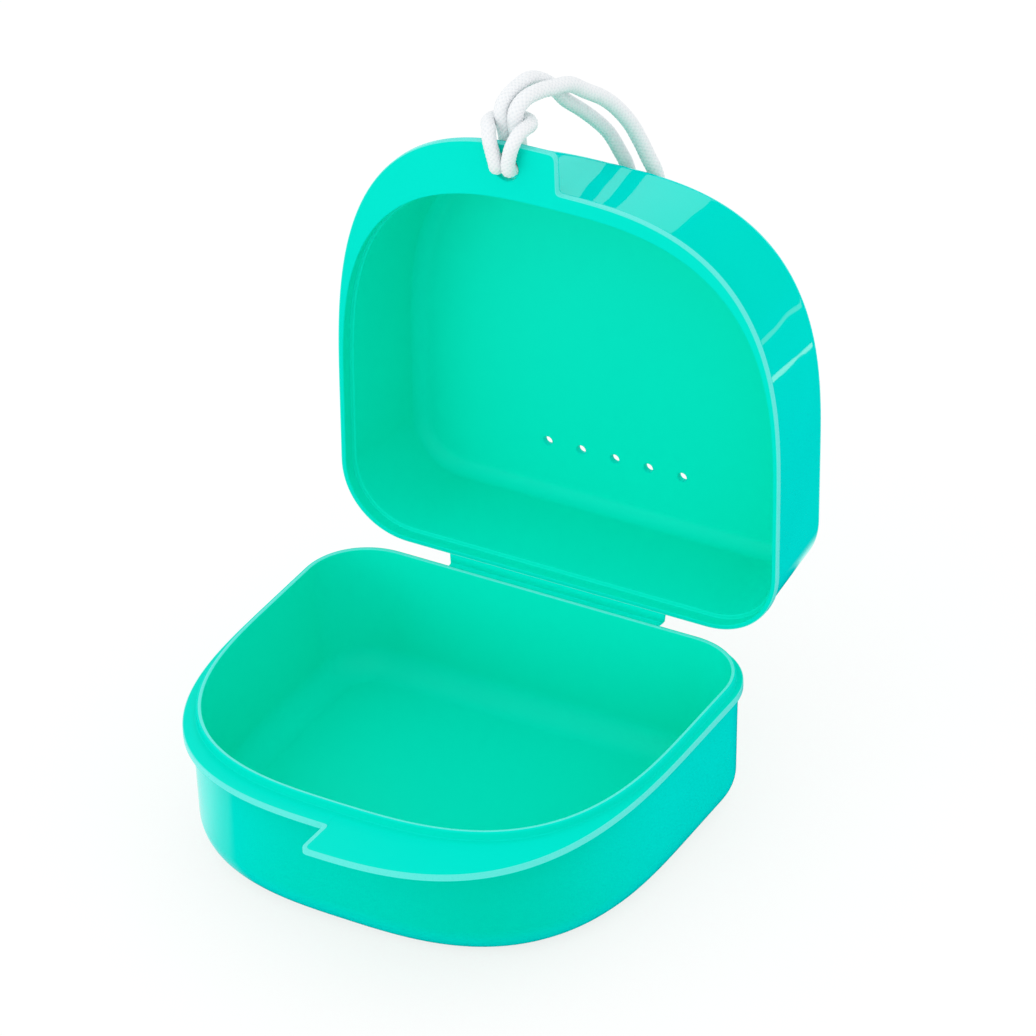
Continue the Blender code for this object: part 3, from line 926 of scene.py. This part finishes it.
def braid_surface():
    """White braided polyester: fine fibres, a painted bluish shade down between the yarns, and a painted dark
    reflection in the polished walls.
    """
    surface = bpy.data.materials.new("white_braid")
    surface.use_nodes = True
    tree = surface.node_tree
    new = tree.nodes.new
    link = tree.links.new
    shader = tree.nodes["Principled BSDF"]
    height = new("ShaderNodeAttribute")
    height.attribute_name = "yarn_height"
    # Painted shade: darker and bluish down between the yarns, paler on their crowns
    ramp = new("ShaderNodeValToRGB")
    ramp.color_ramp.elements[0].position = 0.35
    ramp.color_ramp.elements[0].color = (0.77, 0.81, 0.84, 1)
    ramp.color_ramp.elements[1].position = 1.0
    ramp.color_ramp.elements[1].color = (0.87, 0.885, 0.90, 1)
    link(height.outputs["Fac"], ramp.inputs["Fac"])
    link(ramp.outputs["Color"], shader.inputs["Base Color"])
    shader.inputs["Roughness"].default_value = 0.8
    shader.inputs["Specular IOR Level"].default_value = 0.25
    shader.inputs["Sheen Weight"].default_value = 0.25
    shader.inputs["Sheen Roughness"].default_value = 0.5
    place = new("ShaderNodeTexCoord")
    fibre = new("ShaderNodeTexNoise")
    fibre.inputs["Scale"].default_value = 4500
    fibre.inputs["Detail"].default_value = 2
    link(place.outputs["Object"], fibre.inputs["Vector"])
    bump = new("ShaderNodeBump")
    bump.inputs["Strength"].default_value = 0.5
    bump.inputs["Distance"].default_value = 0.0001
    link(fibre.outputs[0], bump.inputs["Height"])
    link(bump.outputs["Normal"], shader.inputs["Normal"])
    # Painted reflection: the polished walls show the cord as a flat dark teal glow
    painted_reflection = new("ShaderNodeEmission")
    painted_reflection.inputs["Color"].default_value = (0.0, 0.24, 0.27, 1)
    painted_reflection.inputs["Strength"].default_value = 1
    shown = new("ShaderNodeMixShader")
    link(seen_by(tree, "Is Glossy Ray"), shown.inputs[0])
    link(shader.outputs[0], shown.inputs[1])
    link(painted_reflection.outputs[0], shown.inputs[2])
    link(shown.outputs[0], tree.nodes["Material Output"].inputs["Surface"])
    return surface


def soft_light(name, place, aim, size, power, colour):
    """Square soft light that faces a point."""
    data = bpy.data.lights.new(name, "AREA")
    data.shape = "RECTANGLE"
    data.size, data.size_y = size
    data.energy = power
    data.color = colour
    lamp = bpy.data.objects.new(name, data)
    lamp.location = place
    lamp.rotation_mode = "QUATERNION"
    lamp.rotation_quaternion = (Vector(aim) - Vector(place)).to_track_quat("-Z", "Y")
    bpy.context.scene.collection.objects.link(lamp)
    return lamp


def add_sky():
    """Even studio light, white where the camera looks past the floor."""
    world = bpy.data.worlds.new("studio")
    bpy.context.scene.world = world
    world.use_nodes = True
    tree = world.node_tree
    tree.nodes.clear()
    new = tree.nodes.new
    link = tree.links.new
    dome = new("ShaderNodeBackground")
    dome.inputs["Color"].default_value = (1, 1, 1, 1)
    dome.inputs["Strength"].default_value = 1.05
    dim = new("ShaderNodeBackground")
    dim.inputs["Color"].default_value = (0.0, 0.30, 0.34, 1)
    dim.inputs["Strength"].default_value = 0.6
    white = new("ShaderNodeBackground")
    white.inputs["Color"].default_value = (1, 1, 1, 1)
    white.inputs["Strength"].default_value = 1
    reflected = new("ShaderNodeMixShader")
    link(seen_by(tree, "Is Glossy Ray"), reflected.inputs[0])
    link(dome.outputs[0], reflected.inputs[1])
    link(dim.outputs[0], reflected.inputs[2])
    shown = new("ShaderNodeMixShader")
    link(seen_by(tree, "Is Camera Ray"), shown.inputs[0])
    link(reflected.outputs[0], shown.inputs[1])
    link(white.outputs[0], shown.inputs[2])
    output = new("ShaderNodeOutputWorld")
    link(shown.outputs[0], output.inputs["Surface"])


def mirrored_floor(tree):
    """Colour of the floor and its cards as the polished walls show them."""
    new = tree.nodes.new
    link = tree.links.new
    formula = Formula(tree)
    place = new("ShaderNodeTexCoord")
    axes = new("ShaderNodeSeparateXYZ")
    link(place.outputs["Object"], axes.inputs[0])
    x, y = axes.outputs["X"], axes.outputs["Y"]

    def ramp(value, start, end, low, high):
        node = new("ShaderNodeMapRange")
        node.interpolation_type = "SMOOTHSTEP"
        for name, number in (("From Min", start), ("From Max", end), ("To Min", low), ("To Max", high)):
            node.inputs[name].default_value = number
        link(value, node.inputs["Value"])
        return node.outputs["Result"]

    corner_x, corner_y = CARD_CORNER
    line = formula("MULTIPLY_ADD", formula("SUBTRACT", x, corner_x), CARD_SLOPE, corner_y)
    beyond = formula("SUBTRACT", y, line)
    near = formula("MULTIPLY", ramp(beyond, 0, CARD_SOFTNESS, 0, 1), ramp(x, corner_x, corner_x + CARD_SOFTNESS, 1, 0))
    near = formula("MULTIPLY", near, ramp(beyond, 0, CARD_FADE, *CARD_STRENGTH))
    far = formula("MULTIPLY", ramp(y, FAR_CARD_Y, FAR_CARD_Y + CARD_SOFTNESS, 0, 1), ramp(x, FAR_CARD_X, FAR_CARD_X + CARD_FADE, 1, 0))
    level = formula("MAXIMUM", near, formula("MULTIPLY", far, FAR_CARD_STRENGTH))
    for spot_x, spot_y, radius, strength in SPOTS:
        distance = formula("SQRT", formula("ADD", formula("POWER", formula("SUBTRACT", x, spot_x), 2),
                                           formula("POWER", formula("SUBTRACT", y, spot_y), 2)))
        level = formula("MAXIMUM", level, ramp(distance, radius * 0.8, radius, strength, 0))
    pale = new("ShaderNodeVectorMath")
    pale.operation = "SCALE"
    pale.inputs[0].default_value = (0.92, 0.86, 0.76)
    link(level, pale.inputs["Scale"])
    colour = new("ShaderNodeVectorMath")
    colour.operation = "ADD"
    link(pale.outputs["Vector"], colour.inputs[0])
    colour.inputs[1].default_value = (0.0, 0.24, 0.27)
    return colour.outputs["Vector"]


def floor_surface():
    """Pale floor that is lifted towards white where the camera sees it."""
    surface = bpy.data.materials.new("pale_floor")
    surface.use_nodes = True
    tree = surface.node_tree
    tree.nodes.clear()
    new = tree.nodes.new
    link = tree.links.new
    paint = new("ShaderNodeBsdfDiffuse")
    paint.inputs["Color"].default_value = (0.86, 0.86, 0.86, 1)
    glow = new("ShaderNodeEmission")
    glow.inputs["Color"].default_value = (1, 1, 1, 1)
    glow.inputs["Strength"].default_value = 1.05
    dark = new("ShaderNodeEmission")
    link(mirrored_floor(tree), dark.inputs["Color"])
    lifted = new("ShaderNodeMixShader")
    lifted.inputs[0].default_value = 0.75
    link(paint.outputs[0], lifted.inputs[1])
    link(glow.outputs[0], lifted.inputs[2])
    reflected = new("ShaderNodeMixShader")
    link(seen_by(tree, "Is Glossy Ray"), reflected.inputs[0])
    link(paint.outputs[0], reflected.inputs[1])
    link(dark.outputs[0], reflected.inputs[2])
    shown = new("ShaderNodeMixShader")
    link(seen_by(tree, "Is Camera Ray"), shown.inputs[0])
    link(reflected.outputs[0], shown.inputs[1])
    link(lifted.outputs[0], shown.inputs[2])
    output = new("ShaderNodeOutputMaterial")
    link(shown.outputs[0], output.inputs["Surface"])
    return surface


def add_studio():
    """Floor, sky and soft lights."""
    mesh = bpy.data.meshes.new("floor")
    reach = 4.0
    depth = -0.00005
    mesh.from_pydata(
        [(-reach, -reach, depth), (reach, -reach, depth), (reach, reach, depth), (-reach, reach, depth)],
        [],
        [(0, 1, 2, 3)],
    )
    mesh.materials.append(floor_surface())
    floor = bpy.data.objects.new("floor", mesh)
    bpy.context.scene.collection.objects.link(floor)
    add_sky()
    soft_light("front_light", (-0.5, -1.5, 0.35), (0, 0.02, 0.05), (0.9, 0.5), 3.0, (1, 1, 1))
    soft_light("rear_light", (-0.40, 0.85, 0.49), (0, 0.05, 0.10), (0.62, 0.34), 0.40, (1, 1, 1))


def add_case():
    """All pieces of the case."""
    variation = mould_group()
    # Each finish: name, shared variation, colour, paler colour of its painted edge-on sheen, roughness, specular,
    # grain and ripple
    surfaces = [
        plastic("polished_turquoise", variation, (0.0, 0.60, 0.38), (0.0, 0.90, 0.86), 0.03, 0.5, 0.0, 0.30),
        plastic("satin_turquoise", variation, (0.0, 0.80, 0.60), (0.0, 0.80, 0.60), 0.42, 0.04, 0.15, 0.0),
        # Pale edge finish: painted highlight along the rims' edges
        plastic("edge_highlight_turquoise", variation, (0.09, 0.80, 0.70), (0.17, 0.88, 0.82), 0.25, 0.30, 0.05, 0.0),
        plastic("rim_turquoise", variation, (0.0, 0.77, 0.61), (0.0, 0.77, 0.63), 0.30, 0.015, 0.10, 0.0),
        # The hinge strap is coloured lighter than the rim: painted light against the shade that falls on it
        plastic("lightened_hinge_turquoise", variation, (0.0, 0.90, 0.73), (0.0, 0.90, 0.73), 0.30, 0.015, 0.10, 0.0),
    ]
    add_shells(surfaces)
    add_hinge(surfaces)


add_camera()
add_cord(braid_surface())
add_case()
add_studio()
bpy.context.scene.view_settings.view_transform = "Standard"
